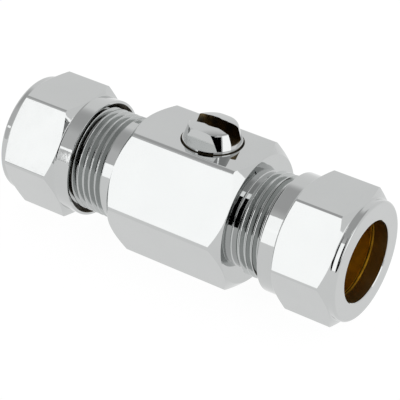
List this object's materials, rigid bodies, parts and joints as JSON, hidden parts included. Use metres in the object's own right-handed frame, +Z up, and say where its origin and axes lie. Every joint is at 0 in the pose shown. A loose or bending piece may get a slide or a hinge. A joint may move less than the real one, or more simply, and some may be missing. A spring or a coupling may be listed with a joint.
{
  "type": "isolating valve",
  "caption": "Chromed in-line isolating valve with a hexagonal body, compression nuts for pipe at both ends and a slotted quarter-turn spindle on top.",
  "frame": {"origin": "on the body's bottom flat, under the spindle", "axes": "+X along the pipe towards the fully seated nut, +Z up along the spindle"},
  "size_m": [0.0731, 0.0286, 0.0289],
  "materials": {
    "plated_body": "bright chrome plating on brass, bare brass in the bores",
    "plated_nuts": "bright chrome plating on brass, bare brass in the bores",
    "plated_spindle": "bright chrome plating on brass",
    "plated_ball": "polished chrome plating on brass",
    "bare_brass": "turned brass",
    "white_seat": "white PTFE",
    "black_rubber": "black rubber"
  },
  "bodies": {
    "valve": {"valve_body": "plated_body", "ball_seat_left": "white_seat", "ball_seat_right": "white_seat", "seat_retainer": "bare_brass", "spindle_washer": "white_seat"},
    "spindle": {"spindle": "plated_spindle", "spindle_o_ring": "black_rubber", "ball": "plated_ball"},
    "right_olive": {"olive_right": "bare_brass"},
    "right_nut": {"compression_nut_right": "plated_nuts"},
    "left_olive": {"olive_left": "bare_brass"},
    "left_nut": {"compression_nut_left": "plated_nuts"}
  },
  "joints": [
    {"name": "spindle_turn", "type": "hinge", "parent": "valve", "child": "spindle", "pos_m": [0, 0, 0.0125], "axis": [0, 0, 1], "continuous": true},
    {"name": "right_olive_slide", "type": "slide", "parent": "valve", "child": "right_olive", "axis": [1, 0, 0], "range_m": [0, 0.00536]},
    {"name": "right_nut_turn", "type": "hinge", "parent": "right_olive", "child": "right_nut", "pos_m": [0.028, 0, 0.0125], "axis": [1, 0, 0], "range_deg": [0, 1440]},
    {"name": "left_olive_slide", "type": "slide", "parent": "valve", "child": "left_olive", "axis": [-1, 0, 0], "range_m": [-0.00268, 0.00322]},
    {"name": "left_nut_turn", "type": "hinge", "parent": "left_olive", "child": "left_nut", "pos_m": [-0.03, 0, 0.0125], "axis": [-1, 0, 0], "range_deg": [-720, 864]}
  ],
  "couplings": [
    {"joint": "right_olive_slide", "follows": "right_nut_turn", "m_per_rad": 0.00021279},
    {"joint": "left_olive_slide", "follows": "left_nut_turn", "m_per_rad": 0.00021279}
  ]
}
